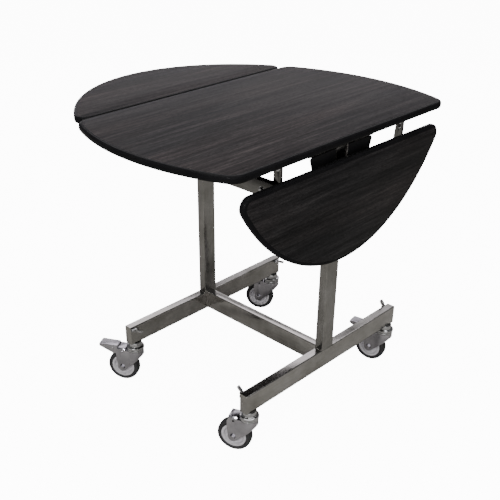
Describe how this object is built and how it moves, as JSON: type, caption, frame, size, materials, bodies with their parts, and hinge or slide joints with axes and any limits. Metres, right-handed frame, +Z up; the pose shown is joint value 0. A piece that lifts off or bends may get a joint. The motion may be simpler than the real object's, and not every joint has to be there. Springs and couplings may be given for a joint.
{
  "type": "room service table",
  "caption": "Oval dining table on casters with two folding leaves, a stainless H frame, black column head plates and braked swivel wheels",
  "frame": {"origin": "middle of the footprint's bounding box, on the floor, with the left leaf raised and the right leaf hanging", "axes": "+X from the raised leaf to the hanging leaf, along the crossbar; +Y along the foot rails and hinge lines; +Z up"},
  "size_m": [0.804, 0.88, 0.78],
  "materials": {
    "laminate": "dark wood-grain laminate, satin",
    "edge_band": "black rounded edge band, glossy",
    "stainless_steel": "polished stainless steel tube and sheet",
    "black_paint": "black powder coat, satin",
    "chrome": "bright chrome plate",
    "zinc_plate": "bright zinc-plated pressed steel",
    "hub_plastic": "light grey moulded wheel hub",
    "tyre_rubber": "dark grey rubber tread"
  },
  "bodies": {
    "frame": {"centre_top_panel": "laminate", "centre_top_edging": "edge_band", "left_foot_rail": "stainless_steel", "right_foot_rail": "stainless_steel", "crossbar": "stainless_steel", "left_column": "stainless_steel", "right_column": "stainless_steel", "left_bearer": "stainless_steel", "right_bearer": "stainless_steel", "front_cross_channel": "stainless_steel", "left_head_plate": "black_paint", "right_head_plate": "black_paint", "left_front_hinge_upright": "stainless_steel", "left_front_hinge_pin": "chrome", "right_front_hinge_upright": "stainless_steel", "right_front_hinge_pin": "chrome", "left_back_hinge_upright": "stainless_steel", "left_back_hinge_pin": "chrome", "right_back_hinge_upright": "stainless_steel", "right_back_hinge_pin": "chrome", "left_front_caster_stem": "chrome", "left_front_wing_screw": "chrome", "right_front_caster_stem": "chrome", "right_front_wing_screw": "chrome", "left_back_caster_stem": "chrome", "left_back_wing_screw": "chrome", "right_back_caster_stem": "chrome", "right_back_wing_screw": "chrome"},
    "left_leaf": {"left_leaf_panel": "laminate", "left_leaf_edging": "edge_band", "left_front_hinge_arm": "stainless_steel", "left_back_hinge_arm": "stainless_steel"},
    "right_leaf": {"right_leaf_panel": "laminate", "right_leaf_edging": "edge_band", "right_front_hinge_arm": "stainless_steel", "right_back_hinge_arm": "stainless_steel"},
    "left_front_swivel": {"left_front_fork": "zinc_plate", "left_front_ball_race": "chrome", "left_front_axle_bolt": "zinc_plate"},
    "left_front_wheel": {"left_front_wheel_hub": "hub_plastic", "left_front_tyre": "tyre_rubber"},
    "left_front_brake": {"left_front_brake_pedal": "zinc_plate"},
    "right_front_swivel": {"right_front_fork": "zinc_plate", "right_front_ball_race": "chrome", "right_front_axle_bolt": "zinc_plate"},
    "right_front_wheel": {"right_front_wheel_hub": "hub_plastic", "right_front_tyre": "tyre_rubber"},
    "left_back_swivel": {"left_back_fork": "zinc_plate", "left_back_ball_race": "chrome", "left_back_axle_bolt": "zinc_plate"},
    "left_back_wheel": {"left_back_wheel_hub": "hub_plastic", "left_back_tyre": "tyre_rubber"},
    "right_back_swivel": {"right_back_fork": "zinc_plate", "right_back_ball_race": "chrome", "right_back_axle_bolt": "zinc_plate"},
    "right_back_wheel": {"right_back_wheel_hub": "hub_plastic", "right_back_tyre": "tyre_rubber"},
    "right_back_brake": {"right_back_brake_pedal": "zinc_plate"}
  },
  "joints": [
    {"name": "left_leaf_fold", "type": "hinge", "parent": "frame", "child": "left_leaf", "pos_m": [-0.1155, 0, 0.7535], "axis": [0, -1, 0], "range_deg": [0, 90]},
    {"name": "right_leaf_fold", "type": "hinge", "parent": "frame", "child": "right_leaf", "pos_m": [0.3755, 0, 0.7535], "axis": [0, -1, 0], "range_deg": [0, 90]},
    {"name": "left_front_swivel_turn", "type": "hinge", "parent": "frame", "child": "left_front_swivel", "pos_m": [-0.095, -0.288, 0.104], "axis": [0, 0, 1], "continuous": true},
    {"name": "left_front_wheel_roll", "type": "hinge", "parent": "left_front_swivel", "child": "left_front_wheel", "pos_m": [-0.12824, -0.30642, 0.046], "axis": [0.4848, -0.8746, 0], "continuous": true},
    {"name": "left_front_brake_press", "type": "hinge", "parent": "left_front_swivel", "child": "left_front_brake", "pos_m": [-0.12649, -0.30545, 0.098], "axis": [0.4848, -0.8746, 0], "range_deg": [0, 7]},
    {"name": "right_front_swivel_turn", "type": "hinge", "parent": "frame", "child": "right_front_swivel", "pos_m": [0.355, -0.288, 0.104], "axis": [0, 0, 1], "continuous": true},
    {"name": "right_front_wheel_roll", "type": "hinge", "parent": "right_front_swivel", "child": "right_front_wheel", "pos_m": [0.32002, -0.30285, 0.046], "axis": [0.3907, -0.9205, 0], "continuous": true},
    {"name": "left_back_swivel_turn", "type": "hinge", "parent": "frame", "child": "left_back_swivel", "pos_m": [-0.095, 0.288, 0.104], "axis": [0, 0, 1], "continuous": true},
    {"name": "left_back_wheel_roll", "type": "hinge", "parent": "left_back_swivel", "child": "left_back_wheel", "pos_m": [-0.12824, 0.26958, 0.046], "axis": [0.4848, -0.8746, 0], "continuous": true},
    {"name": "right_back_swivel_turn", "type": "hinge", "parent": "frame", "child": "right_back_swivel", "pos_m": [0.355, 0.288, 0.104], "axis": [0, 0, 1], "continuous": true},
    {"name": "right_back_wheel_roll", "type": "hinge", "parent": "right_back_swivel", "child": "right_back_wheel", "pos_m": [0.31758, 0.2814, 0.046], "axis": [0.1736, -0.9848, 0], "continuous": true},
    {"name": "right_back_brake_press", "type": "hinge", "parent": "right_back_swivel", "child": "right_back_brake", "pos_m": [0.31955, 0.28175, 0.098], "axis": [0.1736, -0.9848, 0], "range_deg": [0, 7]}
  ]
}
